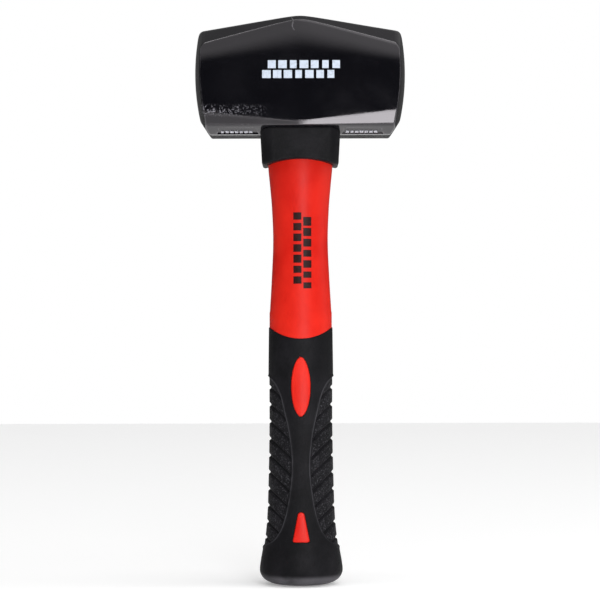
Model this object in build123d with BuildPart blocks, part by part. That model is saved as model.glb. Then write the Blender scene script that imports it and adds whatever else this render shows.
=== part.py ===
"""Lump hammer: a forged steel head on a fibreglass-cored handle, standing head up on its butt.

The origin is under the butt on the handle's axis. +X is one striking direction, +Y runs through the
cheeks and +Z runs up the handle to the head. Lengths are in millimetres.
"""

from build123d import *
import os
from math import cos, radians, sin, tan

# Head. Heights in the head are measured up from its flat underside.
head_length = 102.0  # over the two crowned striking faces
head_width = 50.0  # over the two flat cheeks
seat_height = 218.0  # underside of the head above the butt
ridge_height = 56.8  # of the gabled top, in the middle
ridge_flat = 7.0  # width of the level strip along the ridge
end_height = 49.4  # of the gabled top, at the striking faces
crown_radius = 105.0  # of each striking face
crown_height = 30.0  # axis of the two faces above the underside
# Bevels round each face: (how far in along X they start from the crown's tip, how steeply they close in).
underside_bevel = (7.4, 1.5)
top_bevel = (3.7, 1.25)
facet_bevel = (3.0, 1.0)
cheek_bevel = (2.8, 1.0)

# Long corners of the head: a facet above and below each cheek, and a rolled strip next to it.
lower_crease = 4.1  # where the lower facet meets the cheek
underside_half_width = 14.0  # half of the flat underside between the lower facets
end_upper_crease, mid_upper_crease = 42.0, 54.5
end_roll = (13.1, 33.5)  # the cheek is flat between these heights at the striking faces
mid_roll = (6.9, 39.7)  # and between these in the middle
end_roll_angle, mid_roll_angle = 28.0, 20.0  # how far the strips have turned at the creases
facet_angle = 50.0  # of the upper facets, from the cheeks
cheek_skim = 0.04  # taken off each cheek so that it is truly flat

# Eye: an oval hole that narrows from both ends, so that the set resin can't pull out.
eye_mouth = (29.0, 21.0)
eye_waist = (26.0, 18.6)
eye_top = (30.0, 22.0)
eye_waist_height = 26.0
eye_chamfer = 0.8

# Handle. Every section is an oval whose width across the cheeks is a fixed share of the other.
oval = 0.87
core_size = (20.0, 13.0)  # fibreglass rod, oval too
core_foot = 12.0  # height of the rod's lower end above the butt
resin_recess = 1.0  # resin and rod stop this far under the lowest edge of the eye's top
neck_radius, waist_radius, shoulder_radius = 15.7, 13.3, 15.15  # of the bare jacket, along X
neck_height, waist_height, shoulder_height = 202.5, 165.0, 124.0
plug_height = 7.0  # of the jacket's plug, which closes the mouth of the eye under the resin
jacket_foot = 9.0  # thickness of the grip under the jacket
grip_wall = 2.3

# Grip: (height, half width along X), from its top edge to the flat under the butt.
grip_profile = [
    (125.2, 15.3),
    (103.0, 15.75),
    (78.0, 15.75),
    (50.0, 16.3),
    (32.0, 17.0),
    (20.0, 18.3),
    (12.6, 19.6),
    (7.2, 20.2),
    (4.6, 19.5),
    (2.4, 17.6),
    (0.8, 13.9),
    (0.0, 8.0),
]
grip_top_side, grip_top_front = 125.2, 119.9  # the top edge dips at the front and back
tread_inset = 0.45  # the side treads lie this far under the smooth skin
groove_depth = 0.8  # under the treads
groove_width = 1.2
groove_pitch = 8.3
groove_count = 10
first_groove = 96.6  # height of the top groove at the side of the handle
groove_slope = 41.0  # degrees that a groove falls towards the middle of the grip
# Smooth spine between the treads: (height, half width).
spine_profile = [
    (102.5, 17.0),
    (94.0, 10.6),
    (83.5, 7.9),
    (72.8, 5.7),
    (58.5, 4.5),
    (45.3, 5.6),
    (31.8, 8.4),
    (23.7, 12.3),
    (16.0, 20.5),
]

# Windows in the grip, where bosses on the jacket show through at the front and back.
oval_window = (9.2, 28.6)  # width, height
oval_window_height = 96.7  # its middle
wedge_window = (2.6, 8.3, 14.3)  # top width, bottom width, height
wedge_window_height = 21.9  # its lower edge
wedge_corner = 1.15
boss_proud = 0.2  # bosses stand this far out of the smooth skin

# Collar: a rubber boot round the neck, cupped over the head's lower facets.
collar_top = (38.8, 44.6)
collar_foot = (36.8, 39.0)
collar_corner = 6.0
collar_drop_side, collar_drop_front = 15.0, 11.6  # below the underside of the head
collar_edge = 1.2  # rounding of the lower edge

end_x = head_length / 2
cheek_y = head_width / 2
eye_low_rim = ridge_height - (eye_top[0] - ridge_flat) / 2 * (ridge_height - end_height) / (
    end_x - ridge_flat / 2
)
fill_height = seat_height + eye_low_rim - resin_recess
reach = head_length + head_width  # longer than anything that a cutter has to pass through


def head_outline(x, top, upper_crease, flat, turn):
    """The head's section across X: underside, facets, rolled strips and cheeks."""
    half_width = cheek_y + cheek_skim
    low_y = half_width - (flat[0] - lower_crease) * tan(radians(turn) / 2)
    high_y = half_width - (upper_crease - flat[1]) * tan(radians(turn) / 2)
    top_y = high_y - (top - upper_crease) * tan(radians(facet_angle))
    plane = Plane(origin=(x, 0, seat_height), x_dir=(0, 1, 0), z_dir=(1, 0, 0))
    with BuildSketch(plane, mode=Mode.PRIVATE) as section:
        with BuildLine():
            Polyline((0, 0), (underside_half_width, 0), (low_y, lower_crease))
            TangentArc((half_width, flat[0]), (low_y, lower_crease), tangent=(0, -1))
            Line((half_width, flat[0]), (half_width, flat[1]))
            TangentArc((half_width, flat[1]), (high_y, upper_crease), tangent=(0, 1))
            Polyline((high_y, upper_crease), (top_y, top), (0, top))
            mirror(about=Plane.YZ)
        make_face()
    return section.sketch.face()


def ovals(levels):
    """A solid through (height, width, depth) ovals, with straight sides between them."""
    with BuildPart() as body:
        for height, width, depth in levels:
            with BuildSketch(Plane.XY.offset(height)):
                Ellipse(width / 2, depth / 2)
        loft(ruled=True)
    return body.part


def handle_body(profile):
    """A stretch of handle from its (height, half width) profile."""
    return ovals([(height, 2 * radius, 2 * radius * oval) for height, radius in profile])


def across(*sketches):
    """A bar along Y, through the whole handle, for each outline in the XZ plane."""
    with BuildPart() as bar:
        with BuildSketch(Plane.XZ):
            add(sketches)
        extrude(amount=reach, both=True)
    return bar.part


def inset(profile, depth):
    """The same profile, moved towards the axis."""
    return [(height, radius - depth) for height, radius in profile]


# Each bevel with the outward direction (Y, Z) of the flank that it is on, and that flank's distance
# from the middle of the underside, taken at the striking face.
facet_y, facet_z = cos(radians(facet_angle)), sin(radians(facet_angle))
facet_edge = cheek_y - (end_upper_crease - end_roll[1]) * tan(radians(end_roll_angle) / 2)
facet_distance = facet_edge * facet_y + end_upper_crease * facet_z
bevels = [
    (underside_bevel, (0, -1), 0),
    (top_bevel, (0, 1), end_height + 1),
    (facet_bevel, (facet_y, facet_z), facet_distance),
    (facet_bevel, (-facet_y, facet_z), facet_distance),
    (cheek_bevel, (1, 0), cheek_y),
    (cheek_bevel, (-1, 0), cheek_y),
]

# Bodies that several pieces are cut from or against.
with BuildPart() as blank:
    half_ridge = ridge_flat / 2
    end = (end_height, end_upper_crease, end_roll, end_roll_angle)
    middle = (ridge_height, mid_upper_crease, mid_roll, mid_roll_angle)
    loft(sections=[head_outline(-end_x, *end), head_outline(-half_ridge, *middle)], ruled=True)
    loft(sections=[head_outline(-half_ridge, *middle), head_outline(half_ridge, *middle)], ruled=True)
    loft(sections=[head_outline(half_ridge, *middle), head_outline(end_x, *end)], ruled=True)
    with Locations((0, 0, seat_height + crown_height)):
        Box(reach, head_width, reach, mode=Mode.INTERSECT)
    for side in (1, -1):
        with Locations((side * (end_x - crown_radius), 0, seat_height + crown_height)):
            Sphere(crown_radius, mode=Mode.INTERSECT)
        for (inward, steepness), (y_share, z_share), reach_out in bevels:
            start = (side * (end_x - inward), y_share * reach_out, seat_height + z_share * reach_out)
            bevel_plane = Plane(origin=start, z_dir=(side * steepness, y_share, z_share))
            split(bisect_by=bevel_plane, keep=Keep.BOTTOM)

eye_levels = [
    (seat_height, eye_mouth[0], eye_mouth[1]),
    (seat_height + eye_waist_height, eye_waist[0], eye_waist[1]),
    (seat_height + ridge_height, eye_top[0], eye_top[1]),
]
eye = ovals(eye_levels)
above_plug = seat_height + plug_height

bore_foot = (jacket_foot, grip_profile[6][1] - grip_wall)
grip_skin = handle_body(grip_profile)
boss_skin = handle_body(inset(grip_profile, -boss_proud))
tread_skin = handle_body(inset(grip_profile, tread_inset))
groove_skin = handle_body(inset(grip_profile, tread_inset + groove_depth))
grip_bore = handle_body(inset(grip_profile[:6], grip_wall) + [bore_foot])
rise, fall = neck_height - waist_height, waist_height - shoulder_height
shank = handle_body(
    [
        (seat_height, neck_radius),
        (neck_height, neck_radius),
        (waist_height + 0.75 * rise, waist_radius + 0.62 * (neck_radius - waist_radius)),
        (waist_height + 0.45 * rise, waist_radius + 0.24 * (neck_radius - waist_radius)),
        (waist_height, waist_radius),
        (waist_height - 0.5 * fall, waist_radius + 0.42 * (shoulder_radius - waist_radius)),
        (shoulder_height, shoulder_radius),
        (grip_top_front - 5, shoulder_radius),
    ]
)

with BuildSketch(Plane.XZ) as below_grip_top:
    with BuildLine():
        ThreePointArc(
            (-shoulder_radius, grip_top_side), (0, grip_top_front), (shoulder_radius, grip_top_side)
        )
        Polyline(
            (shoulder_radius, grip_top_side),
            (reach, grip_top_side),
            (reach, -1),
            (-reach, -1),
            (-reach, grip_top_side),
            (-shoulder_radius, grip_top_side),
        )
    make_face()

with BuildSketch(Plane.XZ) as oval_outline:
    with BuildLine():
        Spline(
            (0, oval_window_height - oval_window[1] / 2),
            (oval_window[0] / 2, oval_window_height),
            (0, oval_window_height + oval_window[1] / 2),
            tangents=[(1, 0.3), (-1, 0.3)],
        )
        mirror(about=Plane.YZ)
    make_face()

with BuildSketch(Plane.XZ) as wedge_outline:
    with BuildLine():
        Polyline(
            (-wedge_window[1] / 2, wedge_window_height),
            (wedge_window[1] / 2, wedge_window_height),
            (wedge_window[0] / 2, wedge_window_height + wedge_window[2]),
            (-wedge_window[0] / 2, wedge_window_height + wedge_window[2]),
            close=True,
        )
    make_face()
    fillet(wedge_outline.vertices(), wedge_corner)

with BuildSketch(Plane.XZ) as treads:
    with BuildLine():
        Spline(*[(half_width, height) for height, half_width in spine_profile])
        Polyline(
            (spine_profile[-1][1], spine_profile[-1][0]),
            (reach, spine_profile[-1][0]),
            (reach, spine_profile[0][0]),
            (spine_profile[0][1], spine_profile[0][0]),
        )
    make_face()
    mirror(about=Plane.YZ)

# Grooves start at the sides of the grip and fall towards the spine.
with BuildSketch(Plane.XZ) as grooves:
    groove_side = grip_profile[3][1]
    groove_length = 2 * groove_side / cos(radians(groove_slope))
    groove_heights = [first_groove - groove_pitch * step for step in range(groove_count)]
    for side in (1, -1):
        with Locations(*[(side * groove_side, height) for height in groove_heights]):
            Rectangle(groove_length, groove_width, rotation=side * groove_slope)
    add(treads.sketch, mode=Mode.INTERSECT)

with BuildSketch(Plane.XZ) as under_collar:
    with BuildLine():
        half_foot = collar_foot[0] / 2
        ThreePointArc(
            (-half_foot, seat_height - collar_drop_side),
            (0, seat_height - collar_drop_front),
            (half_foot, seat_height - collar_drop_side),
        )
        Polyline(
            (half_foot, seat_height - collar_drop_side),
            (reach, seat_height - collar_drop_side),
            (reach, waist_height),
            (-reach, waist_height),
            (-reach, seat_height - collar_drop_side),
            (-half_foot, seat_height - collar_drop_side),
        )
    make_face()

windows = across(oval_outline.sketch, wedge_outline.sketch)
inside_neck = handle_body([(seat_height, neck_radius), (above_plug, neck_radius)])
below_top = across(below_grip_top.sketch)

# The head, black lacquered steel.
with BuildPart() as head:
    add(blank.part)
    add(eye, mode=Mode.SUBTRACT)
    mouth = head.edges().filter_by_position(Axis.Z, seat_height - 0.1, seat_height + 0.1)
    chamfer(mouth.sort_by(SortBy.DISTANCE)[:1], eye_chamfer)

# Fibreglass rod from the butt to the top of the eye.
with BuildPart() as fibreglass_core:
    with BuildSketch(Plane.XY.offset(core_foot)):
        Ellipse(core_size[0] / 2, core_size[1] / 2)
    extrude(amount=fill_height - core_foot)

# Epoxy set round the rod in the eye, over the jacket's plug.
with BuildPart() as eye_resin:
    add(eye)
    split(bisect_by=Plane.XY.offset(above_plug), keep=Keep.TOP)
    split(bisect_by=Plane.XY.offset(fill_height), keep=Keep.BOTTOM)
    add(fibreglass_core.part, mode=Mode.SUBTRACT)

# Red jacket moulded on the rod: shank, plug in the eye, and bosses that show in the grip's windows.
with BuildPart() as bosses:
    add(windows)
    add(boss_skin, mode=Mode.INTERSECT)

with BuildPart() as plug:
    add(eye)
    split(bisect_by=Plane.XY.offset(above_plug), keep=Keep.BOTTOM)

with BuildPart() as handle_jacket:
    add(shank)
    add(below_top, mode=Mode.SUBTRACT)
    add(grip_bore)
    add(bosses.part)
    add(plug.part)
    add(fibreglass_core.part, mode=Mode.SUBTRACT)

# Soft black grip with treads at its sides, a flared butt and windows for the bosses.
with BuildPart() as tread_cut:
    add(across(treads.sketch))
    add(tread_skin, mode=Mode.SUBTRACT)

with BuildPart() as groove_cut:
    add(across(grooves.sketch))
    add(groove_skin, mode=Mode.SUBTRACT)

with BuildPart() as grip:
    add(grip_skin)
    add(below_top, mode=Mode.INTERSECT)
    add(grip_bore, mode=Mode.SUBTRACT)
    add(windows, mode=Mode.SUBTRACT)
    add(tread_cut.part, mode=Mode.SUBTRACT)
    add(groove_cut.part, mode=Mode.SUBTRACT)

# Rubber collar between the head and the shank.
with BuildPart() as overstrike_collar:
    with BuildSketch(Plane.XY.offset(seat_height - collar_drop_side)):
        RectangleRounded(collar_foot[0], collar_foot[1], collar_corner)
    with BuildSketch(Plane.XY.offset(seat_height + lower_crease)):
        RectangleRounded(collar_top[0], collar_top[1], collar_corner)
    loft(ruled=True)
    add(across(under_collar.sketch), mode=Mode.SUBTRACT)
    foot_edges = overstrike_collar.edges().filter_by_position(
        Axis.Z, seat_height - collar_drop_side - 0.1, seat_height - collar_drop_front + 0.1
    )
    fillet(foot_edges, collar_edge)
    add(shank, mode=Mode.SUBTRACT)
    add(inside_neck, mode=Mode.SUBTRACT)
    add(head.part, mode=Mode.SUBTRACT)

os.makedirs("parts", exist_ok=True)
head.part.label = "head"
fibreglass_core.part.label = "fibreglass_core"
eye_resin.part.label = "eye_resin"
handle_jacket.part.label = "handle_jacket"
overstrike_collar.part.label = "overstrike_collar"
grip.part.label = "grip"
export_step(head.part, "parts/head.step")
export_step(fibreglass_core.part, "parts/fibreglass_core.step")
export_step(eye_resin.part, "parts/eye_resin.step")
export_step(handle_jacket.part, "parts/handle_jacket.step")
export_step(overstrike_collar.part, "parts/overstrike_collar.step")
export_step(grip.part, "parts/grip.step")
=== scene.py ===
from math import cos, hypot, pi, radians, sin, sqrt, tan

import bmesh
import bpy
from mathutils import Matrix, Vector


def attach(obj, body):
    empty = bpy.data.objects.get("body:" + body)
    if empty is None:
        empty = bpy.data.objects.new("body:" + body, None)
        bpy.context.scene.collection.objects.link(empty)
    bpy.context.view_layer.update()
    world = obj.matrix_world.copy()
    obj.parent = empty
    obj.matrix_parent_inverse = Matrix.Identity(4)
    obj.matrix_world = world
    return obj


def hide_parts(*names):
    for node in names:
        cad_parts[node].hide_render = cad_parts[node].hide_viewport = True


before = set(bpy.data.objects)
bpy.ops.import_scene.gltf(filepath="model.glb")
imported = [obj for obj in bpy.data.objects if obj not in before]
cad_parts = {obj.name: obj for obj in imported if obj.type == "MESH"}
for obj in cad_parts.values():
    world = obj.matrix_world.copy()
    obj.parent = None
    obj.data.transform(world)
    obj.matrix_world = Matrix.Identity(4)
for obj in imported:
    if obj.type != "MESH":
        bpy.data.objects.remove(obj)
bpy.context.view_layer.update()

bpy.context.scene.view_settings.view_transform = "Standard"

mm = 0.001
print("frame loaded:", sorted(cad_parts))


def lerp(a, b, t):
    return a + (b - a) * t


def curveThrough(points):
    # a smooth function through (place, value) pairs, in rising order of place
    places = [p for p, v in points]
    values = [v for p, v in points]
    slopes = []
    for i in range(len(points)):
        a, b = max(i - 1, 0), min(i + 1, len(points) - 1)
        slopes.append((values[b] - values[a]) / (places[b] - places[a]))

    def at(x):
        x = min(max(x, places[0]), places[-1])
        i = 0
        while i < len(places) - 2 and x > places[i + 1]:
            i += 1
        step = places[i + 1] - places[i]
        t = (x - places[i]) / step
        return (
            (2 * t**3 - 3 * t**2 + 1) * values[i]
            + (t**3 - 2 * t**2 + t) * step * slopes[i]
            + (3 * t**2 - 2 * t**3) * values[i + 1]
            + (t**3 - t**2) * step * slopes[i + 1]
        )

    return at


def ringMesh(name, *shells):
    # each shell is rings of points in millimetres, joined with quads; a ring of one point is a pole
    vertices, faces = [], []
    for rings in shells:
        starts = []
        for ring in rings:
            starts.append(len(vertices))
            vertices += [(x * mm, y * mm, z * mm) for x, y, z in ring]
        for lower, upper, a, b in zip(rings, rings[1:], starts, starts[1:]):
            count = max(len(lower), len(upper))
            for i in range(count):
                j = (i + 1) % count
                if len(lower) == 1:
                    faces.append((a, b + j, b + i))
                elif len(upper) == 1:
                    faces.append((a + i, a + j, b))
                else:
                    faces.append((a + i, a + j, b + j, b + i))
    mesh = bpy.data.meshes.new(name)
    mesh.from_pydata(vertices, [], faces)
    return mesh


def newObject(name, data):
    made = bpy.data.objects.new(name, data)
    bpy.context.scene.collection.objects.link(made)
    return made


def addPiece(name, mesh, sharp=40):
    finishMesh(mesh, sharp)
    return newObject(name, mesh)


def finishMesh(mesh, sharp=40):
    edit = bmesh.new()
    edit.from_mesh(mesh)
    bmesh.ops.remove_doubles(edit, verts=edit.verts, dist=1e-7)
    bmesh.ops.recalc_face_normals(edit, faces=edit.faces)
    edit.to_mesh(mesh)
    edit.free()
    smoothFaces(mesh, sharp)


def smoothFaces(mesh, sharp):
    mesh.shade_smooth()
    mesh.set_sharp_from_angle(angle=radians(sharp))


def settle(piece):
    # turns a piece with modifiers into a plain mesh
    graph = bpy.context.evaluated_depsgraph_get()
    mesh = bpy.data.meshes.new_from_object(piece.evaluated_get(graph))
    piece.modifiers.clear()
    piece.data = mesh
    return piece


class Tree:
    # builds a node tree: t.add(type, settings, socket=value or link), where _0 is the first socket
    def __init__(self, tree):
        self.tree = tree

    def add(self, kind, settings=None, **sockets):
        node = self.tree.nodes.new(kind)
        for key, value in (settings or {}).items():
            setattr(node, key, value)
        for key, value in sockets.items():
            self.feed(self.socket(node, key), value)
        return node

    def socket(self, node, key):
        if key[0] == "_":
            return node.inputs[int(key[1:])]
        for one in node.inputs:
            if one.name.replace(" ", "") == key and one.enabled:
                return one
        raise KeyError(f"{node.bl_idname} has no input {key}")

    def feed(self, socket, value):
        if isinstance(value, bpy.types.NodeSocket):
            self.tree.links.new(value, socket)
        elif isinstance(value, bpy.types.Node):
            self.tree.links.new(next(o for o in value.outputs if o.enabled), socket)
        else:
            socket.default_value = value

    def math(self, operation, a, b=None, c=None):
        node = self.tree.nodes.new("ShaderNodeMath")
        node.operation = operation
        for i, value in enumerate((a, b, c)):
            if value is not None:
                self.feed(node.inputs[i], value)
        return node.outputs[0]

    def times(self, *values):
        product = values[0]
        for value in values[1:]:
            product = self.math("MULTIPLY", product, value)
        return product

    def step(self, value, low, high, out=(0.0, 1.0)):
        # a smooth rise (or fall, where low is above high) between two values
        node = self.add(
            "ShaderNodeMapRange", {"interpolation_type": "SMOOTHSTEP"},
            Value=value, FromMin=low, FromMax=high, ToMin=out[0], ToMax=out[1],
        )
        return node.outputs["Result"]

    def noise(self, place, scale, detail, **more):
        return self.add("ShaderNodeTexNoise", Vector=place, Scale=scale, Detail=detail, **more).outputs[0]

    def blend(self, factor, first, second):
        # 6, 7 and 2 are the colour sockets of a mix
        mix = self.add("ShaderNodeMix", {"data_type": "RGBA"}, Factor=factor)
        self.feed(mix.inputs[6], first)
        self.feed(mix.inputs[7], second)
        return mix.outputs[2]

    def bump(self, height, strength, distance, normal=None):
        node = self.add("ShaderNodeBump", Height=height, Strength=strength, Distance=distance)
        if normal is not None:
            self.feed(node.inputs["Normal"], normal)
        return node.outputs[0]

    def scaled(self, vector, factor):
        return self.add("ShaderNodeVectorMath", {"operation": "SCALE"}, _0=vector, Scale=factor).outputs[0]

    def total(self, a, b):
        return self.add("ShaderNodeVectorMath", {"operation": "ADD"}, _0=a, _1=b).outputs[0]


def geometryTree(name, inputs):
    # inputs: {name: (socket kind, default)}; the geometry comes first
    tree = bpy.data.node_groups.new(name, "GeometryNodeTree")
    tree.interface.new_socket("Geometry", in_out="INPUT", socket_type="NodeSocketGeometry")
    tree.interface.new_socket("Geometry", in_out="OUTPUT", socket_type="NodeSocketGeometry")
    for label, (kind, default) in inputs.items():
        socket = tree.interface.new_socket(label, in_out="INPUT", socket_type="NodeSocket" + kind)
        if default is not None:
            socket.default_value = default
    tree.is_modifier = True
    return Tree(tree), tree.nodes.new("NodeGroupInput"), tree.nodes.new("NodeGroupOutput")


def endTree(t, sink, geometry, material):
    real = t.add("GeometryNodeRealizeInstances", Geometry=geometry)
    paint = t.add("GeometryNodeSetMaterial", Geometry=real, Material=material)
    t.feed(sink.inputs["Geometry"], paint.outputs[0])
    return t.tree


def addTree(piece, tree, values):
    modifier = piece.modifiers.new(tree.name, "NODES")
    modifier.node_group = tree
    for item in tree.interface.items_tree:
        if item.in_out == "INPUT" and item.name in values:
            modifier[item.identifier] = values[item.name]


def newMaterial(name):
    material = bpy.data.materials.new(name)
    material.use_nodes = True
    tree = material.node_tree
    tree.nodes.clear()
    build = Tree(tree)
    shader = build.add("ShaderNodeBsdfPrincipled")
    build.add("ShaderNodeOutputMaterial", Surface=shader.outputs[0])
    place = build.add("ShaderNodeTexCoord").outputs["Object"]
    return material, build, shader, place


def setShader(shader, values):
    for name, value in values.items():
        shader.inputs[name].default_value = value


lacquerLook = dict(
    darkColor=(0.0022, 0.0022, 0.0032, 1), thinColor=(0.005, 0.005, 0.0068, 1), tint=(1.0, 0.94, 1.0, 1),
    # the pale edge colour is wear and a painted crease highlight; the pale speck colour is a painted sparkle
    # highlight
    wornColor=(0.10, 0.096, 0.105, 1), speckColor=(0.34, 0.33, 0.37, 1),
    rough=(0.07, 0.15), peelSize=1.6, peelHeight=0.05, grainSize=0.35, grainHeight=0.03,
    # the rough patch, in metres: where it starts and where it is full, along the head, from below, from above
    patchAlong=(-0.012, -0.022), patchLow=(0.222, 0.2235), patchHigh=(0.2325, 0.2300), patchLift=8.0,
    # the painted sparkle highlights: where they start along the head, and from below
    speckAlong=(-0.020, -0.044), speckLow=(0.2255, 0.2285),
    # the crowned faces, in metres: their sphere's centre, and the shell round it that has no wear or painted
    # highlight
    crownCentre=0.054, crownHeight=0.248, crownShell=(0.1047, 0.1049),
)


def makeLacquer():
    look = lacquerLook
    material, t, shader, place = newMaterial("blackLacquer")
    cloud = t.noise(place, 70.0, 4.0, Roughness=0.6)
    peel = t.noise(place, 1000 / look["peelSize"], 2.0)
    grain = t.noise(place, 1000 / look["grainSize"], 3.0)
    pits = t.noise(place, 1500.0, 4.0, Roughness=0.7)
    paint = t.blend(cloud, look["darkColor"], look["thinColor"])
    spot = t.add("ShaderNodeSeparateXYZ", Vector=place)
    x, z = spot.outputs["X"], spot.outputs["Z"]

    # paint worn thin along the edges, lighter there as wear and as a painted highlight along the creases, but not on
    # the crowned faces
    outward = t.add(
        "ShaderNodeCombineXYZ", X=t.math("ADD", t.math("ABSOLUTE", x), look["crownCentre"]),
        Y=spot.outputs["Y"], Z=t.math("SUBTRACT", z, look["crownHeight"]),
    )
    reachOut = t.add("ShaderNodeVectorMath", {"operation": "LENGTH"}, _0=outward).outputs["Value"]
    edge = t.times(
        t.step(t.add("ShaderNodeNewGeometry").outputs["Pointiness"], 0.505, 0.56),
        t.step(reachOut, *look["crownShell"], (1.0, 0.0)), t.step(peel, 0.35, 0.6, (0.3, 1.0)),
    )
    wearAndPaintedLight = t.blend(edge, paint, look["wornColor"])

    # a rough patch of the forging low on the left, with pale specks that are painted sparkle highlights
    rough = t.times(t.step(x, *look["patchAlong"]), t.step(z, *look["patchLow"]), t.step(z, *look["patchHigh"]))
    paintedSparkles = t.times(
        rough, t.step(z, *look["speckLow"]), t.step(pits, 0.54, 0.64), t.step(x, *look["speckAlong"], (0.25, 1.0)),
    )
    t.feed(shader.inputs["Base Color"], t.blend(paintedSparkles, wearAndPaintedLight, look["speckColor"]))
    t.feed(shader.inputs["Roughness"], t.step(cloud, 0.35, 0.7, look["rough"]))
    setShader(shader, {
        "IOR": 1.5, "Specular Tint": look["tint"], "Coat Weight": 0.25, "Coat Roughness": 0.08, "Coat IOR": 1.5,
    })
    waves = t.bump(t.math("ADD", peel, t.times(pits, rough, look["patchLift"])), look["peelHeight"], 0.0004)
    t.feed(shader.inputs["Normal"], t.bump(grain, look["grainHeight"], 0.0003, waves))
    return material


redLook = dict(
    color=(0.50, 0.0085, 0.004, 1), paleColor=(0.60, 0.015, 0.0065, 1), rough=(0.34, 0.48),
    softness=0.08, softReach=(0.004, 0.0006, 0.0004),
)


def makeRed():
    look = redLook
    material, t, shader, place = newMaterial("redJacket")
    cloud = t.noise(place, 45.0, 5.0, Roughness=0.55)
    grain = t.noise(place, 2600.0, 2.0)
    t.feed(shader.inputs["Base Color"], t.blend(t.step(cloud, 0.3, 0.7), look["color"], look["paleColor"]))
    t.feed(shader.inputs["Roughness"], t.step(cloud, 0.25, 0.75, look["rough"]))
    setShader(shader, {
        "IOR": 1.45, "Specular IOR Level": 0.15,
        "Subsurface Weight": look["softness"], "Subsurface Radius": look["softReach"],
    })
    t.feed(shader.inputs["Normal"], t.bump(grain, 0.05, 0.0002))
    return material


rubberLook = dict(
    color=(0.0042, 0.0042, 0.005, 1), dustColor=(0.0095, 0.009, 0.0108, 1),
    padColor=(0.045, 0.044, 0.05, 1), footColor=(0.075, 0.072, 0.08, 1),
    stippleSize=0.75, rough=(0.42, 0.62), scuffHeight=(0.0062, 0.0035),
)


def makeRubber(name, speckSize, speckHeight, rounding=0.0, wearAndPaintedLight=False):
    look = rubberLook
    material, t, shader, place = newMaterial(name)
    cloud = t.noise(place, 60.0, 6.0, Roughness=0.65)
    speck = t.noise(place, 1000 / speckSize, 3.0, Roughness=0.6)
    color, height = t.blend(t.step(cloud, 0.35, 0.75), look["color"], look["dustColor"]), speck
    if wearAndPaintedLight:  # stippled pads with dust on them, which stays out of the grooves so that these stay dark as painted shade; lips lightened as a painted highlight; and a foot lightened by scuffs and by painted light from the floor below
        pad = t.add("ShaderNodeAttribute", {"attribute_name": "pad"}).outputs["Fac"]
        lip = t.add("ShaderNodeAttribute", {"attribute_name": "lip"}).outputs["Fac"]
        stipple = t.noise(place, 1000 / look["stippleSize"], 2.0, Roughness=0.7)
        low = t.step(t.add("ShaderNodeSeparateXYZ", Vector=place).outputs["Z"], *look["scuffHeight"])
        # pads lightened with dust, and grooves left dark as painted shade
        color = t.blend(t.times(pad, t.step(stipple, 0.5, 0.72)), color, look["padColor"])
        # lips lightened in patches with the pad colour, as a painted highlight along the spine's edges
        color = t.blend(t.times(t.step(lip, 0.4, 1.0), t.step(cloud, 0.3, 0.6, (0.1, 0.8))), color, look["padColor"])
        # the lowest few millimetres of the butt lightened, partly as scuffs and partly as painted light from the
        # floor below
        color = t.blend(t.times(low, t.step(cloud, 0.25, 0.6, (0.35, 1.0))), color, look["footColor"])
        height = t.math("ADD", height, t.times(stipple, pad, 2.5))
    t.feed(shader.inputs["Base Color"], color)
    t.feed(shader.inputs["Roughness"], t.step(speck, 0.3, 0.7, look["rough"]))
    setShader(shader, {"IOR": 1.45, "Specular IOR Level": 0.08})
    edge = t.add("ShaderNodeBevel", {"samples": 8}, Radius=rounding * mm).outputs[0] if rounding else None
    t.feed(shader.inputs["Normal"], t.bump(height, speckHeight, 0.0004, edge))
    return material


rodLook = dict(darkColor=(0.30, 0.20, 0.075, 1), paleColor=(0.66, 0.52, 0.26, 1))


def makeFibreglass():
    material, t, shader, place = newMaterial("fibreglassRod")
    strands = t.add("ShaderNodeMapping", Vector=place, Scale=(1, 1, 0.02))
    fibre = t.noise(strands, 2200.0, 3.0)
    ends = t.add("ShaderNodeTexVoronoi", Vector=place, Scale=1600.0).outputs[0]
    color = t.blend(t.times(fibre, t.step(ends, 0.1, 0.7)), rodLook["darkColor"], rodLook["paleColor"])
    t.feed(shader.inputs["Base Color"], color)
    setShader(shader, {"Roughness": 0.55})
    t.feed(shader.inputs["Normal"], t.bump(fibre, 0.2, 0.0003))
    return material


epoxyLook = dict(darkColor=(0.012, 0.010, 0.009, 1), paleColor=(0.05, 0.042, 0.032, 1))


def makeEpoxy():
    material, t, shader, place = newMaterial("setEpoxy")
    cloud = t.noise(place, 120.0, 4.0, Distortion=0.6)
    pits = t.add("ShaderNodeTexVoronoi", Vector=place, Scale=700.0).outputs[0]
    t.feed(shader.inputs["Base Color"], t.blend(cloud, epoxyLook["darkColor"], epoxyLook["paleColor"]))
    t.feed(shader.inputs["Roughness"], t.step(cloud, 0.3, 0.7, (0.15, 0.4)))
    t.feed(shader.inputs["Normal"], t.bump(t.step(pits, 0.02, 0.25), 0.3, 0.0004))
    return material


def makeInk(name, color, otherColor):
    material, t, shader, place = newMaterial(name)
    wear = t.noise(place, 900.0, 4.0, Roughness=0.7)
    t.feed(shader.inputs["Base Color"], t.blend(t.step(wear, 0.45, 0.75), color, otherColor))
    t.feed(shader.inputs["Roughness"], t.step(wear, 0.3, 0.7, (0.3, 0.5)))
    setShader(shader, {"Specular IOR Level": 0.15})
    t.feed(shader.inputs["Normal"], t.bump(wear, 0.1, 0.0001))
    return material


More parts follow.
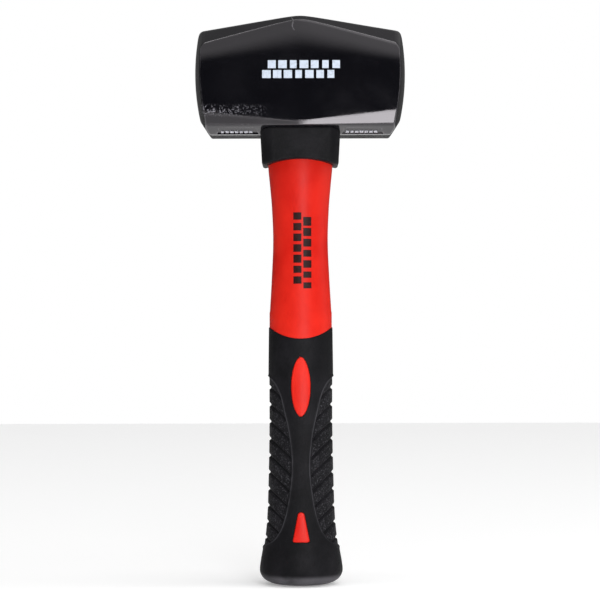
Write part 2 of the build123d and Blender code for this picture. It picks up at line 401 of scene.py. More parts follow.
lacquer = makeLacquer()
red = makeRed()
gripRubber = makeRubber("gripRubber", 0.55, 0.35, wearAndPaintedLight=True)
collarRubber = makeRubber("collarRubber", 0.9, 0.3, rounding=0.8)
fibreglass = makeFibreglass()
epoxy = makeEpoxy()
whiteInk = makeInk("whiteInk", (0.56, 0.62, 0.72, 1), (0.38, 0.42, 0.50, 1))
blackInk = makeInk("blackInk", (0.012, 0.0016, 0.0016, 1), (0.035, 0.0025, 0.0025, 1))
paleMetal = makeInk("paleMetal", (0.42, 0.42, 0.46, 1), (0.12, 0.12, 0.14, 1))
print("materials made")


headSizes = dict(
    halfLength=51.0, halfWidth=25.0, seat=218.0, ridge=56.8, endTop=49.4, ridgeSoftness=4.0,
    crownRadius=105.0, crownAxis=30.0, bevelSoftness=1.1,
    lowerCrease=4.1, undersideHalf=14.0, facetAngle=50.0,
    midUpperCrease=54.5, endUpperCrease=42.0, midRoll=(6.9, 39.7), endRoll=(13.1, 33.5),
    midTurn=20.0, endTurn=28.0, creaseSoftness=2,
)
# how finely the head is divided: along it, then round its section from the underside up
headGrid = dict(
    faceRings=51, faceStep=0.75, bevelFoot=41.5, bevelStep=0.3, sideCount=84,
    underside=12, lowFacet=16, lowRoll=14, cheek=22, highRoll=16, highFacet=14, top=14,
)
# bevels of the striking faces: where they start, how steep, outward (y, z), distance of the flank
faceBevels = [
    (43.6, 1.5, (0, -1), 0), (47.3, 1.25, (0, 1), 50.4),
    (48.0, 1.0, (0.643, 0.766), 46.25), (48.0, 1.0, (-0.643, 0.766), 46.25),
    (48.2, 1.0, (1, 0), 25.0), (48.2, 1.0, (-1, 0), 25.0),
]
eyeSizes = dict(mouth=(29.0, 21.0), waist=(26.0, 18.6), top=(30.0, 22.0), waistHeight=26.0, chamfer=0.8)
panelSizes = dict(near=20.0, far=40.0, slant=1.4, low=0.5, high=7.4, depth=0.6)


def headOutline(top, crease, flat, turn):
    # half of the head's section, from the middle of the underside to the middle of the top
    h, grid = headSizes, headGrid
    turn = radians(turn)
    half = h["halfWidth"]
    lowRadius = (flat[0] - h["lowerCrease"]) / sin(turn)
    highRadius = (crease - flat[1]) / sin(turn)
    low = (half - lowRadius * (1 - cos(turn)), h["lowerCrease"])
    high = (half - highRadius * (1 - cos(turn)), crease)
    inner = (high[0] - (top - crease) * tan(radians(h["facetAngle"])), top)

    def run(a, b, count):
        return [(lerp(a[0], b[0], i / count), lerp(a[1], b[1], i / count)) for i in range(count)]

    points = run((0, 0), (h["undersideHalf"], 0), grid["underside"])
    points += run((h["undersideHalf"], 0), low, grid["lowFacet"])
    for i in range(grid["lowRoll"]):
        a = turn * (1 - i / grid["lowRoll"])
        points.append((half - lowRadius * (1 - cos(a)), flat[0] - lowRadius * sin(a)))
    points += run((half, flat[0]), (half, flat[1]), grid["cheek"])
    for i in range(grid["highRoll"]):
        a = turn * i / grid["highRoll"]
        points.append((half - highRadius * (1 - cos(a)), flat[1] + highRadius * sin(a)))
    return points + run(high, inner, grid["highFacet"]) + run(inner, (0, top), grid["top"]) + [(0, top)]


def softMin(a, b, width):
    blend = max(width - abs(a - b), 0) / width
    return min(a, b) - blend * blend * width / 4


def makeHeadMesh():
    h = headSizes
    middle = headOutline(h["ridge"], h["midUpperCrease"], h["midRoll"], h["midTurn"])
    end = headOutline(h["endTop"], h["endUpperCrease"], h["endRoll"], h["endTurn"])
    sphereMiddle = h["halfLength"] - h["crownRadius"]
    stations = []
    for i in range(1, headGrid["faceRings"] + 1):
        r = headGrid["faceStep"] * i
        stations.append(sphereMiddle + sqrt(h["crownRadius"] ** 2 - r * r))
    while stations[-1] > headGrid["bevelFoot"]:
        stations.append(stations[-1] - headGrid["bevelStep"])
    flatEnd, sideCount = stations[-1], headGrid["sideCount"]
    row = [-x for x in stations]
    row += [lerp(-flatEnd, flatEnd, i / sideCount) for i in range(1, sideCount)]
    row += stations[::-1]
    axis, soft, tiny = h["crownAxis"], h["ridgeSoftness"], 0.05
    rings = [[(-h["halfLength"], 0, h["seat"] + axis)]]
    for x in row:
        t = (sqrt(x * x + soft * soft) - soft) / (sqrt(h["halfLength"] ** 2 + soft * soft) - soft)
        half = [(lerp(a[0], b[0], t), lerp(a[1], b[1], t)) for a, b in zip(middle, end)]
        loop = half + [(-y, z) for y, z in reversed(half[1:-1])]
        for _ in range(h["creaseSoftness"]):
            loop = [
                ((loop[i - 1][0] + 2 * y + loop[(i + 1) % len(loop)][0]) / 4,
                 (loop[i - 1][1] + 2 * z + loop[(i + 1) % len(loop)][1]) / 4)
                for i, (y, z) in enumerate(loop)
            ]
        crown = sqrt(max(h["crownRadius"] ** 2 - (abs(x) - sphereMiddle) ** 2, 0))
        ring = []
        for y, z in loop:
            z -= axis
            far = hypot(y, z)
            y, z = y / far, z / far
            near = softMin(far, crown, h["bevelSoftness"])
            for start, steepness, (outY, outZ), flank in faceBevels:
                lean = outY * y + outZ * z
                if lean > tiny:
                    limit = (flank - (abs(x) - start) * steepness - outZ * axis) / lean
                    near = softMin(near, limit, h["bevelSoftness"])
            near = max(near, tiny)
            ring.append((x, y * near, h["seat"] + axis + z * near))
        rings.append(ring)
    rings.append([(h["halfLength"], 0, h["seat"] + axis)])
    return ringMesh("head", rings)


def ovalRing(width, depth, z, count=96):
    turns = [2 * pi * i / count for i in range(count)]
    return [(width / 2 * cos(a), depth / 2 * sin(a), z) for a in turns]


def eyeOval(z):
    # the eye's width and depth at a height above the head's underside
    e, h = eyeSizes, headSizes
    if z < e["waistHeight"]:
        t, a, b = z / e["waistHeight"], e["mouth"], e["waist"]
    else:
        t, a, b = (z - e["waistHeight"]) / (h["ridge"] - e["waistHeight"]), e["waist"], e["top"]
    return lerp(a[0], b[0], t), lerp(a[1], b[1], t)


facetRun, facetRise = 0.9165, 0.4  # slope of the lower facets


def facetPoint(x, along, out):
    # a place on the front lower facet: along it from the underside, and out of it
    y = -headSizes["undersideHalf"] - facetRun * along - facetRise * out
    return (x, y, headSizes["seat"] + facetRise * along - facetRun * out)


def makeHeadCutter():
    e, h, p = eyeSizes, headSizes, panelSizes
    past = 5  # how far the cutter goes past the head
    levels = [-past, 0, e["chamfer"], 8, 17, e["waistHeight"], 36, 46, h["ridge"], h["ridge"] + past]
    rings = [[(0, 0, h["seat"] - past)]]
    for level in levels:
        width, depth = eyeOval(min(max(level, 0), h["ridge"]))
        wider = 2 * e["chamfer"] if level <= 0 else 0
        rings.append(ovalRing(width + wider, depth + wider, h["seat"] + level))
    rings.append([(0, 0, h["seat"] + h["ridge"] + past)])
    shells = [rings]
    for side in (-1, 1):
        corners = [
            (side * p["near"], p["low"]), (side * p["far"], p["low"]),
            (side * (p["far"] - p["slant"]), p["high"]), (side * (p["near"] + p["slant"]), p["high"]),
        ]
        middle = (side * (p["near"] + p["far"]) / 2, (p["low"] + p["high"]) / 2)
        shells.append([
            [facetPoint(*middle, -p["depth"])], [facetPoint(x, u, -p["depth"]) for x, u in corners],
            [facetPoint(x, u, 3) for x, u in corners], [facetPoint(*middle, 3)],
        ])
    return addPiece("headCutter", ringMesh("headCutter", *shells))


forging = dict(waveSize=26.0, waveHeight=0.09, dimpleSize=4.0, dimpleHeight=0.035)


def makeForgingTree():
    t, source, sink = geometryTree("forgedSurface", {
        "Wave Size": ("Float", 0.026), "Wave Height": ("Float", 0.0001),
        "Dimple Size": ("Float", 0.005), "Dimple Height": ("Float", 0.00002),
        "Material": ("Material", None),
    })
    get = source.outputs
    place = t.add("GeometryNodeInputPosition")
    lifts = []
    for kind, detail in (("Wave", 1.0), ("Dimple", 3.0)):
        noise = t.noise(place, t.math("DIVIDE", 1.0, get[kind + " Size"]), detail)
        lifts.append(t.times(t.math("SUBTRACT", noise, 0.5), get[kind + " Height"]))
    move = t.scaled(t.add("GeometryNodeInputNormal"), t.math("ADD", *lifts))
    shift = t.add("GeometryNodeSetPosition", Geometry=get["Geometry"], Offset=move)
    return endTree(t, sink, shift, get["Material"])


def cutWith(piece, cutter):
    cut = piece.modifiers.new("cut", "BOOLEAN")
    cut.operation = "DIFFERENCE"
    cut.solver = "EXACT"
    cut.object = cutter


def makeHead():
    head = addPiece("steelHead", makeHeadMesh())
    cutter = makeHeadCutter()
    cutWith(head, cutter)
    addTree(head, makeForgingTree(), {
        "Wave Size": forging["waveSize"] * mm, "Wave Height": forging["waveHeight"] * mm,
        "Dimple Size": forging["dimpleSize"] * mm, "Dimple Height": forging["dimpleHeight"] * mm,
        "Material": lacquer,
    })
    settle(head)
    bpy.data.objects.remove(cutter)
    smoothFaces(head.data, 40)
    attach(head, "root")
    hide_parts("head")
    return head


steelHead = makeHead()
print("head:", len(steelHead.data.polygons), "faces")

handleSizes = dict(
    oval=0.87, core=(20.0, 13.0), coreFoot=12.0, jacketFoot=9.0, shoulder=15.15, plugTop=225.0,
    # (height, half width) up to the head
    shank=[
        (119.0, 15.15), (124.0, 15.15), (144.5, 14.08), (165.0, 13.3),
        (181.9, 13.88), (193.1, 14.79), (202.5, 15.6), (218.0, 15.7),
    ],
    around=160, rows=80, plugMouth=3.5, fit=0.03, coreFit=0.04,
    levelShare=0.08,  # share of the rows that keep the shoulder's width
)
gripSizes = dict(
    # from the pole under the butt to the top edge: (height, half width)
    profile=[
        (0.0, 0.0), (0.0, 4.0), (0.05, 8.2), (0.8, 13.7), (2.4, 17.4), (4.6, 19.4), (7.4, 20.2),
        (12.6, 19.6), (20.0, 18.3), (32.0, 17.0), (50.0, 16.3), (78.0, 15.75), (103.0, 15.75), (125.2, 15.55),
    ],
    buttPoints=7, topSide=125.2, topFront=119.9, topRadius=15.5, wall=2.3,
    around=264, buttRows=42, rowStep=0.36, levelTop=106.0, topRows=30,
    # the plain spine between the treads: (height, half width)
    spine=[
        (16, 20.5), (23.7, 12.3), (31.8, 8.4), (45.3, 5.6), (58.5, 4.5),
        (72.8, 5.7), (83.5, 7.9), (94, 10.6), (102.5, 17),
    ],
    firstGroove=96.6, pitch=8.3, count=10, slope=41.0, side=16.3, grooveWidth=1.25, grooveDepth=0.85,
    padInset=0.45, lipWidth=0.9, lipHeight=0.26, stippleSize=0.9, stippleHeight=0.12,
)
bossSizes = dict(
    lens=(9.2, 28.6), lensMiddle=96.7, lensFullness=0.56,
    wedge=(2.6, 8.3, 14.3),  # width at the top, width at the foot, height
    wedgeFoot=21.9, corner=1.3, cornerSteps=6, sideSteps=9,
    proud=0.2, crown=0.15, edge=0.35, depth=2.6, gap=0.22,
)

profileHeight = curveThrough([(i, p[0]) for i, p in enumerate(gripSizes["profile"])])
profileWidth = curveThrough([(i, p[1]) for i, p in enumerate(gripSizes["profile"])])
gripRadius = curveThrough(gripSizes["profile"][gripSizes["buttPoints"]:])
shankRadius = curveThrough(handleSizes["shank"])
boreHeights = [14.0, 20.0, 26.0, 32.0, 41.0, 50.0, 64.0, 78.0, 90.0, 103.0, 112.0]
boreTopRadius = handleSizes["shoulder"] - gripSizes["wall"] + 0.4


def boreRadius(z):
    # of the grip's bore, which is straight at its foot
    return gripRadius(max(z, gripSizes["profile"][gripSizes["buttPoints"]][0])) - gripSizes["wall"]


def gripTop(x):
    # height of the grip's top edge, an arc that dips at the front and back
    g = gripSizes
    half, drop = handleSizes["shoulder"], g["topSide"] - g["topFront"]
    radius = (half * half + drop * drop) / (2 * drop)
    return g["topFront"] + radius - sqrt(radius * radius - min(abs(x), half) ** 2)


def gripRing(radius, z, count):
    # z is a height, or a function of x
    ring = []
    for i in range(count):
        a = 2 * pi * i / count
        x = radius * cos(a)
        ring.append((x, handleSizes["oval"] * radius * sin(a), z(x) if callable(z) else z))
    return ring


def makeGripMesh():
    g, h = gripSizes, handleSizes
    count = g["around"]
    rings = [[(0, 0, 0)]]
    for i in range(1, g["buttRows"] + 1):  # the butt, by steps along its curve
        place = i * g["buttPoints"] / g["buttRows"]
        rings.append(gripRing(profileWidth(place), profileHeight(place), count))
    z = rings[-1][0][2]
    while z < g["levelTop"]:
        z += g["rowStep"]
        rings.append(gripRing(gripRadius(z), z, count))
    for i in range(1, g["topRows"] + 1):  # from level rows to the curved edge
        t = i / g["topRows"]

        def edge(x, t=t, start=z):
            return lerp(start, gripTop(x) - 0.3, t)

        rings.append(gripRing(lerp(gripRadius(z), g["topRadius"], t), edge, count))
    rings.append(gripRing(g["topRadius"] - 0.08, lambda x: gripTop(x) - 0.08, count))
    rings.append(gripRing(g["topRadius"] - 0.25, gripTop, count))
    outer = len(rings)
    rings.append(gripRing(boreTopRadius, gripTop, count))
    for z in boreHeights[::-1] + [h["jacketFoot"]]:
        rings.append(gripRing(boreRadius(z), z, count))
    rings.append([(0, 0, h["jacketFoot"])])
    mesh = ringMesh("grip", rings)
    # 1 on the outside, so that the treads leave the bore alone
    skin = mesh.attributes.new("skin", "FLOAT", "POINT")
    values = [1.0] * (1 + (outer - 1) * count)
    values += [0.0] * (len(mesh.vertices) - len(values))
    skin.data.foreach_set("value", values)
    return mesh


def makeTreadTree():
    g = gripSizes
    t, source, sink = geometryTree("sideTreads", {
        "First Groove": ("Float", 0.089), "Pitch": ("Float", 0.0083), "Count": ("Float", 10.0),
        "Slope": ("Float", 0.87), "Side": ("Float", 0.0163), "Groove Width": ("Float", 0.0012),
        "Groove Depth": ("Float", 0.0008), "Pad Inset": ("Float", 0.00045), "Lip Width": ("Float", 0.0009),
        "Lip Height": ("Float", 0.0002), "Stipple Size": ("Float", 0.0009), "Stipple Height": ("Float", 0.0001),
        "Material": ("Material", None),
    })
    get = source.outputs
    place = t.add("GeometryNodeInputPosition")
    apart = t.add("ShaderNodeSeparateXYZ", Vector=place)
    side, z = t.math("ABSOLUTE", apart.outputs["X"]), apart.outputs["Z"]

    # the pads lie outside the spine, with a lip along their edge
    spineTop, spineReach = 125, 25
    spine = t.add("ShaderNodeFloatCurve", Factor=1.0, Value=t.math("DIVIDE", z, spineTop * mm))
    curve = spine.mapping.curves[0]
    points = [(height / spineTop, half / spineReach) for height, half in g["spine"]]
    points = [(0.0, 1.0)] + points + [(0.85, 1.0), (1.0, 1.0)]
    curve.points[0].location, curve.points[1].location = points[0], points[-1]
    for x, y in points[1:-1]:
        curve.points.new(x, y)
    spine.mapping.update()
    inside = t.math("SUBTRACT", side, t.math("MULTIPLY", spine.outputs[0], spineReach * mm))
    pad = t.step(inside, 0.0, 0.0008)
    lipOuter = t.math("MULTIPLY", get["Lip Width"], -1.3)
    lipInner = t.math("MULTIPLY", get["Lip Width"], -0.3)
    padSide = t.math("SUBTRACT", 1.0, t.step(inside, lipInner, 0.0002))
    lip = t.math("MULTIPLY", t.step(inside, lipOuter, lipInner), padSide)

    # how far a place is from the nearest groove
    fall = t.math("MULTIPLY", t.math("SUBTRACT", get["Side"], side), get["Slope"])
    turn = t.math("DIVIDE", t.math("SUBTRACT", get["First Groove"], t.math("ADD", z, fall)), get["Pitch"])
    lastGroove = t.math("SUBTRACT", get["Count"], 1.0)
    nearest = t.math("MINIMUM", t.math("MAXIMUM", t.math("ROUND", turn), 0.0), lastGroove)
    across = t.math(
        "MULTIPLY", t.math("ABSOLUTE", t.math("SUBTRACT", turn, nearest)),
        t.math("MULTIPLY", get["Pitch"], cos(radians(g["slope"]))),
    )
    floorEdge = t.math("MULTIPLY", get["Groove Width"], 0.2)
    rimEdge = t.math("MULTIPLY", get["Groove Width"], 0.75)
    groove = t.math("MULTIPLY", t.math("SUBTRACT", 1.0, t.step(across, floorEdge, rimEdge)), pad)

    grain = t.noise(place, t.math("DIVIDE", 1.0, get["Stipple Size"]), 1.0)
    rough = t.math("MULTIPLY", t.math("SUBTRACT", grain, 0.5), t.math("MULTIPLY", get["Stipple Height"], pad))
    sunk = t.math("ADD", t.math("MULTIPLY", pad, get["Pad Inset"]), t.math("MULTIPLY", groove, get["Groove Depth"]))
    raised = t.math("ADD", t.math("MULTIPLY", lip, get["Lip Height"]), rough)
    skin = t.add("GeometryNodeInputNamedAttribute", {"data_type": "FLOAT"}, Name="skin").outputs["Attribute"]
    lift = t.math("MULTIPLY", t.math("SUBTRACT", raised, sunk), skin)
    move = t.scaled(t.add("GeometryNodeInputNormal"), lift)
    marked = get["Geometry"]
    # the pad mark leaves the grooves out, so that they keep the dark rubber colour as painted shade; the lip mark is
    # for a painted highlight
    for label, value in (("pad", t.math("SUBTRACT", pad, groove)), ("lip", lip)):
        marked = t.add(
            "GeometryNodeStoreNamedAttribute", {"data_type": "FLOAT", "domain": "POINT"},
            Geometry=marked, Name=label, Value=t.math("MULTIPLY", value, skin),
        )
    shift = t.add("GeometryNodeSetPosition", Geometry=marked, Offset=move)
    return endTree(t, sink, shift, get["Material"])


def lensOutline(wider=0.0, count=64):
    b = bossSizes
    points = []
    for i in range(count):
        a = 2 * pi * i / count
        up = sin(a)
        half = (b["lens"][0] / 2 + wider) * max(1 - up * up, 0) ** b["lensFullness"]
        points.append((half if cos(a) >= 0 else -half, b["lensMiddle"] + up * (b["lens"][1] / 2 + 1.4 * wider)))
    return points


def wedgeOutline(wider=0.0):
    b = bossSizes
    top, foot, tall = b["wedge"]
    corners = [
        (-foot / 2 - wider, b["wedgeFoot"] - wider), (foot / 2 + wider, b["wedgeFoot"] - wider),
        (top / 2 + wider, b["wedgeFoot"] + tall + wider), (-top / 2 - wider, b["wedgeFoot"] + tall + wider),
    ]
    points = []
    for i, corner in enumerate(corners):
        before, after, here = Vector(corners[i - 1]), Vector(corners[(i + 1) % 4]), Vector(corner)
        first = here + (before - here).normalized() * b["corner"]
        last = here + (after - here).normalized() * b["corner"]
        stop = after + (here - after).normalized() * b["corner"]
        for k in range(b["cornerSteps"] + 1):  # a rounded corner
            t = k / b["cornerSteps"]
            points.append(tuple(first * (1 - t) ** 2 + here * 2 * t * (1 - t) + last * t * t))
        for k in range(1, b["sideSteps"]):  # and the side after it
            points.append(tuple(last.lerp(stop, k / b["sideSteps"])))
    return points


def bossOutlines(wider=0.0):
    # each boss's outline and the height of its middle
    b = bossSizes
    return [(lensOutline(wider), b["lensMiddle"]), (wedgeOutline(wider), b["wedgeFoot"] + b["wedge"][2] / 2)]


def bossRings(outline, middle, side):
    # a closed slab that follows the grip's surface, on the front (side -1) or the back (side 1)
    b = bossSizes

    def at(share, rise, inward=0.0):
        ring = []
        for x, z in outline:
            dx, dz = x, z - middle
            length = max(hypot(dx, dz), 0.001)
            keep = max(share - inward / length, 0.01)
            x, z = dx * keep, middle + dz * keep
            radius = gripRadius(z) + rise
            ring.append((x, side * handleSizes["oval"] * sqrt(radius * radius - x * x), z))
        return ring

    def pole(rise):
        return [(0, side * handleSizes["oval"] * (gripRadius(middle) + rise), middle)]

    top, edge = b["proud"], b["edge"]
    rings = [pole(-b["depth"]), at(1, -b["depth"]), at(1, top - 2 * edge), at(1, top - edge)]
    for i in range(1, 5):
        a = radians(22.5 * i)
        rings.append(at(1, top - edge * (1 - sin(a)), edge * (1 - cos(a))))
    for share in (0.8, 0.6, 0.4, 0.2):
        rings.append(at(share, top + b["crown"] * (1 - share * share)))
    rings.append(pole(top + b["crown"]))
    return rings


def makeWindowCutter():
    shells = []
    for side in (-1, 1):
        near, far = side * 6, side * 26
        for outline, middle in bossOutlines(bossSizes["gap"]):
            shells.append([
                [(0, near, middle)], [(x, near, z) for x, z in outline],
                [(x, far, z) for x, z in outline], [(0, far, middle)],
            ])
    return addPiece("windowCutter", ringMesh("windowCutter", *shells))


def makeGrip():
    g = gripSizes
    grip = addPiece("rubberGrip", makeGripMesh())
    cutter = makeWindowCutter()
    cutWith(grip, cutter)
    addTree(grip, makeTreadTree(), {
        "First Groove": g["firstGroove"] * mm, "Pitch": g["pitch"] * mm, "Count": float(g["count"]),
        "Slope": tan(radians(g["slope"])), "Side": g["side"] * mm, "Groove Width": g["grooveWidth"] * mm,
        "Groove Depth": g["grooveDepth"] * mm, "Pad Inset": g["padInset"] * mm, "Lip Width": g["lipWidth"] * mm,
        "Lip Height": g["lipHeight"] * mm, "Stipple Size": g["stippleSize"] * mm,
        "Stipple Height": g["stippleHeight"] * mm, "Material": gripRubber,
    })
    settle(grip)
    bpy.data.objects.remove(cutter)
    smoothFaces(grip.data, 50)
    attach(grip, "root")
    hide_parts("grip")
    return grip


def makeJacket():
    g, h = gripSizes, handleSizes
    count, fit = h["around"], h["fit"]  # the fit keeps the jacket just clear of the grip's bore
    seat, coreWidth, coreDepth = headSizes["seat"], h["core"][0] + h["coreFit"], h["core"][1] + h["coreFit"]
    rings = [[(0, 0, h["jacketFoot"] + fit)]]
    for z in [h["jacketFoot"] + fit] + boreHeights:
        rings.append(gripRing(boreRadius(z) - fit, z, count))
    for radius in (boreTopRadius - fit, h["shoulder"]):
        rings.append(gripRing(radius, lambda x: gripTop(x) + fit, count))
    for i in range(1, h["rows"] + 1):  # the shank, from the grip's curved edge to level rows at the head
        t = i / h["rows"]
        radius = shankRadius(lerp(g["topFront"], seat, t)) if t > h["levelShare"] else h["shoulder"]
        rings.append(gripRing(radius, lambda x, t=t: lerp(gripTop(x) + fit, seat, t), count))
    for z in (seat, seat + h["plugMouth"], h["plugTop"]):
        width, depth = eyeOval(z - seat)
        rings.append(ovalRing(width - 2 * fit, depth - 2 * fit, z, count))
    for z in (h["plugTop"], 160.0, 90.0, h["coreFoot"]):
        rings.append(ovalRing(coreWidth, coreDepth, z, count))
    rings.append([(0, 0, h["coreFoot"])])
    shells = [rings]
    for side in (-1, 1):
        shells += [bossRings(outline, middle, side) for outline, middle in bossOutlines()]
    jacket = addPiece("redJacket", ringMesh("jacket", *shells), sharp=50)
    jacket.data.materials.append(red)
    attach(jacket, "root")
    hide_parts("handle_jacket")
    return jacket


rubberGrip = makeGrip()
print("grip:", len(rubberGrip.data.polygons), "faces")
redJacket = makeJacket()
print("jacket:", len(redJacket.data.polygons), "faces")


def makeFriezeTree():
    # rows of thin blocks, laid like bricks on a surface
    t, source, sink = geometryTree("blockFrieze", {
        "Columns": ("Int", 6), "Rows": ("Int", 2), "Length": ("Float", 0.038), "Height": ("Float", 0.009),
        "Gap": ("Float", 0.0008), "Thickness": ("Float", 0.0002), "Place": ("Vector", None),
        "Along": ("Vector", None), "Up": ("Vector", None), "Out": ("Vector", None),
        "Surface": ("Object", None), "Seed": ("Int", 1), "Material": ("Material", None),
    })
    get = source.outputs
    cellLength = t.math("DIVIDE", get["Length"], t.math("ADD", get["Columns"], 0.5))
    cellHeight = t.math("DIVIDE", get["Height"], get["Rows"])
    grid = t.add(
        "GeometryNodeMeshGrid", VerticesX=get["Columns"], VerticesY=get["Rows"],
        SizeX=t.math("MULTIPLY", cellLength, t.math("SUBTRACT", get["Columns"], 1.0)),
        SizeY=t.math("MULTIPLY", cellHeight, t.math("SUBTRACT", get["Rows"], 1.0)),
    )
    where = t.add("ShaderNodeSeparateXYZ", Vector=t.add("GeometryNodeInputPosition"))
    rowNumber = t.math("ROUND", t.math("ADD", t.math("DIVIDE", where.outputs["Y"], cellHeight), 20.25))
    odd = t.math("SUBTRACT", t.math("MODULO", rowNumber, 2.0), 0.5)
    bond = t.add("ShaderNodeCombineXYZ", X=t.math("MULTIPLY", odd, t.math("MULTIPLY", cellLength, 0.5)))
    laid = t.add("GeometryNodeSetPosition", Geometry=grid.outputs["Mesh"], Offset=bond)
    block = t.add("GeometryNodeMeshCube", Size=(1, 1, 1), VerticesX=7, VerticesY=4, VerticesZ=2)
    width = t.add("FunctionNodeRandomValue", {"data_type": "FLOAT"}, Seed=get["Seed"])
    width.inputs[2].default_value, width.inputs[3].default_value = 0.66, 1.0
    size = t.add(
        "ShaderNodeCombineXYZ", X=t.math("MULTIPLY", t.math("SUBTRACT", cellLength, get["Gap"]), width.outputs[1]),
        Y=t.math("SUBTRACT", cellHeight, get["Gap"]), Z=get["Thickness"],
    )
    copies = t.add("GeometryNodeInstanceOnPoints", Points=laid, Instance=block.outputs["Mesh"], Scale=size)
    real = t.add("GeometryNodeRealizeInstances", Geometry=copies)
    flat = t.add("ShaderNodeSeparateXYZ", Vector=t.add("GeometryNodeInputPosition"))

    # each block is cast onto the surface from a little way out
    start = t.total(get["Place"], t.scaled(get["Along"], flat.outputs["X"]))
    start = t.total(start, t.scaled(get["Up"], flat.outputs["Y"]))
    start = t.total(start, t.scaled(get["Out"], 0.02))
    target = t.add("GeometryNodeObjectInfo", {"transform_space": "RELATIVE"}, Object=get["Surface"])
    cast = t.add(
        "GeometryNodeRaycast", TargetGeometry=target.outputs["Geometry"], SourcePosition=start,
        RayDirection=t.scaled(get["Out"], -1.0), RayLength=0.05,
    )
    onto = t.total(cast.outputs["Hit Position"], t.scaled(get["Out"], flat.outputs["Z"]))
    shift = t.add("GeometryNodeSetPosition", Geometry=real, Position=onto)
    return endTree(t, sink, shift, get["Material"])


friezeTree = makeFriezeTree()
printRows = dict(columns=7, rows=2, gap=0.9, thickness=0.12, out=(0, -1, 0))
panelRow = dict(
    surface=steelHead, slot="lacquered_steel", material=paleMetal, columns=7, rows=1, length=17.0, height=2.2,
    gap=0.5, thickness=0.7, along=(1, 0, 0), up=(0, -facetRun, facetRise), out=(0, -facetRise, -facetRun),
)
friezes = [
    dict(
        printRows, name="cheekBlocks", surface=steelHead, slot="lacquered_steel", material=whiteInk,
        length=38.4, height=9.4, place=(0.6, -25.0, 248.6), along=(1, 0, 0), up=(0, 0, 1), seed=3,
    ),
    dict(
        printRows, name="shankBlocks", surface=redJacket, slot="red_jacket", material=blackInk,
        length=38.6, height=9.6, place=(0.9, -12.0, 162.3), along=(0, 0, -1), up=(1, 0, 0), seed=5,
    ),
    dict(panelRow, name="leftPanelBlocks", place=facetPoint(-30.0, 2.4, 0), seed=8),
    dict(panelRow, name="rightPanelBlocks", place=facetPoint(30.0, 2.4, 0), seed=11),
]


def makeFrieze(f):
    piece = newObject(f["name"], bpy.data.meshes.new(f["name"]))
    addTree(piece, friezeTree, {
        "Columns": f["columns"], "Rows": f["rows"], "Length": f["length"] * mm, "Height": f["height"] * mm,
        "Gap": f["gap"] * mm, "Thickness": f["thickness"] * mm, "Place": [c * mm for c in f["place"]],
        "Along": f["along"], "Up": f["up"], "Out": f["out"],
        "Surface": f["surface"], "Seed": f["seed"], "Material": f["material"],
    })
    settle(piece)
    finishMesh(piece.data, 40)
    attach(piece, "root")
    return piece


for oneFrieze in friezes:
    made = makeFrieze(oneFrieze)
    print(made.name, len(made.data.polygons), "faces")

beadSizes = dict(
    path=[(-4.4, 56.2), (-3.9, 55.4), (-3.4, 54.4), (-3.5, 53.0), (-3.7, 51.6), (-3.3, 50.2), (-2.6, 49.2)],
    radius=0.42, sunk=0.1, steps=6, around=10,
)


def makePartingBead():
    # a small curl of flash where the forging dies met, over the front of the ridge
    b = beadSizes
    places = list(range(len(b["path"])))
    xAt = curveThrough(list(zip(places, [p[0] for p in b["path"]])))
    zAt = curveThrough(list(zip(places, [p[1] for p in b["path"]])))
    centres = []
    for i in range(places[-1] * b["steps"] + 1):
        x, z = xAt(i / b["steps"]), zAt(i / b["steps"]) + headSizes["seat"]
        hit, spot, normal, face = steelHead.ray_cast(Vector((x, -60, z)) * mm, Vector((0, 1, 0)))
        if hit:
            centres.append((spot / mm - normal * b["sunk"], normal))
    turns = [2 * pi * k / b["around"] for k in range(b["around"])]
    rings = []
    for i, (centre, normal) in enumerate(centres):
        ahead = centres[min(i + 1, len(centres) - 1)][0] - centres[max(i - 1, 0)][0]
        side = ahead.cross(normal).normalized()
        radius = b["radius"] * sqrt(max(sin(pi * (i + 0.5) / len(centres)), 0.05))
        rings.append([tuple(centre + radius * (cos(a) * side + sin(a) * normal)) for a in turns])
    rings = [[tuple(centres[0][0])]] + rings + [[tuple(centres[-1][0])]]
    bead = addPiece("partingBead", ringMesh("partingBead", rings), sharp=60)
    bead.data.materials.append(lacquer)
    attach(bead, "root")


makePartingBead()
print("parting bead made")

stageSizes = dict(
    distance=1.15, viewSide=-0.0003, viewHeight=0.1385, viewWidth=0.2924, roll=0.0025, sensor=36,
    floorSize=3.0, floorColor=(0.9, 0.9, 0.9, 1), floorGlow=0.27,
)
# name, place, target, size, radiance
lamps = [
    ("ceiling", (0.0, 0.45, 1.5), (0, 0.1, 0.1), (1.6, 1.0), 0.08),
    ("key", (0.35, -0.6, 1.6), (0, 0, 0.15), (1.0, 0.5), 0.8),
    ("rightLow", (0.052, -0.275, 0.107), (0.052, 0, 0.22), (0.092, 0.23), 9.0),
    ("creaseStrip", (0.0, -0.1, 1.4), (0, 0, 0.27), (1.2, 0.1), 5.0),
    ("leftStrip", (-0.15, -0.35, 0.158), (-0.15, 0, 0.2), (0.3, 0.012), 2.5),
    ("right", (1.1, 0.0, 0.3), (0, 0, 0.15), (0.7, 0.9), 1.2),
    ("left", (-1.1, -0.05, 0.3), (0, 0, 0.15), (0.5, 0.9), 0.06),
]
white = (1, 1, 1, 1)


def makeCamera():
    s = stageSizes
    camera = newObject("camera", bpy.data.cameras.new("camera"))
    camera.location = (s["viewSide"], -s["distance"], s["viewHeight"])
    camera.rotation_euler = (pi / 2, s["roll"], 0)
    camera.data.sensor_width = s["sensor"]
    camera.data.lens = s["sensor"] * s["distance"] / s["viewWidth"]
    bpy.context.scene.camera = camera


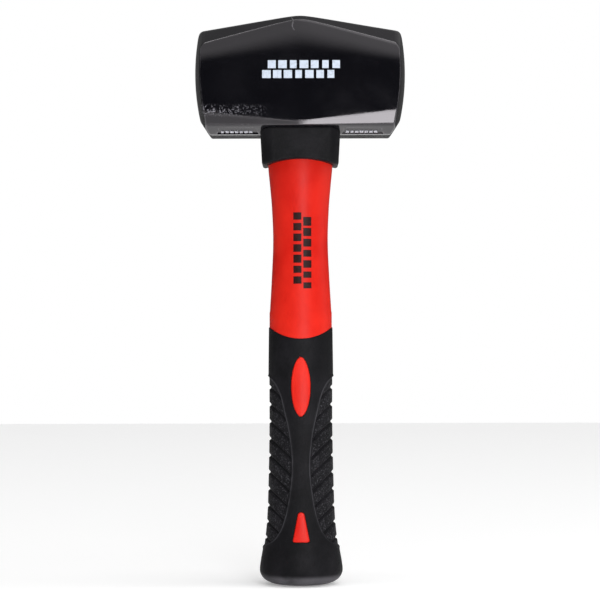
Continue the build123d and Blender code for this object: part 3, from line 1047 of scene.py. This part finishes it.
def makeRoom():
    # white to the camera; to the object, bright overhead and dark low down and behind
    world = bpy.data.worlds.new("studio")
    bpy.context.scene.world = world
    world.use_nodes = True
    world.node_tree.nodes.clear()
    t = Tree(world.node_tree)
    apart = t.add("ShaderNodeSeparateXYZ", Vector=t.add("ShaderNodeTexCoord").outputs["Generated"])
    x, y, z = (apart.outputs[axis] for axis in "XYZ")
    height = t.math("MULTIPLY", t.step(z, 0.08, 0.6, (0.01, 1.25)), t.step(y, 0.0, 0.25, (1.0, 0.22)))
    side = t.step(x, -0.6, 1.0, (0.62, 1.3))
    glow = t.math("ADD", t.math("MULTIPLY", height, side), t.step(y, 0.1, 0.7, (0.0, 0.08)))
    plain = t.add("ShaderNodeBackground", Strength=1.0, Color=white)
    room = t.add("ShaderNodeBackground", Strength=glow, Color=white)
    seen = t.add("ShaderNodeLightPath").outputs["Is Camera Ray"]
    mix = t.add("ShaderNodeMixShader", _0=seen, _1=room.outputs[0], _2=plain.outputs[0])
    t.add("ShaderNodeOutputWorld", Surface=mix.outputs[0])


def makeFloor():
    s = stageSizes
    half = s["floorSize"] / 2
    mesh = bpy.data.meshes.new("floor")
    mesh.from_pydata([(-half, -half, 0), (half, -half, 0), (half, half, 0), (-half, half, 0)], [], [(0, 1, 2, 3)])
    material, t, shader, place = newMaterial("paleFloor")
    setShader(shader, {
        "Base Color": s["floorColor"], "Roughness": 0.7, "Emission Color": white, "Emission Strength": s["floorGlow"],
    })
    mesh.materials.append(material)
    newObject("floor", mesh)


def makeLamps():
    for name, spot, target, size, radiance in lamps:
        data = bpy.data.lights.new(name, "AREA")
        data.shape = "RECTANGLE"
        data.size, data.size_y = size
        data.energy = radiance * pi * size[0] * size[1]
        lamp = newObject(name, data)
        lamp.location = spot
        lamp.rotation_euler = (Vector(target) - Vector(spot)).to_track_quat("-Z", "Y").to_euler()
        lamp.visible_camera = False


makeCamera()
makeRoom()
makeFloor()
makeLamps()
print("stage made")

for node, material in (("fibreglass_core", fibreglass), ("eye_resin", epoxy), ("overstrike_collar", collarRubber)):
    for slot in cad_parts[node].material_slots:
        slot.material = material
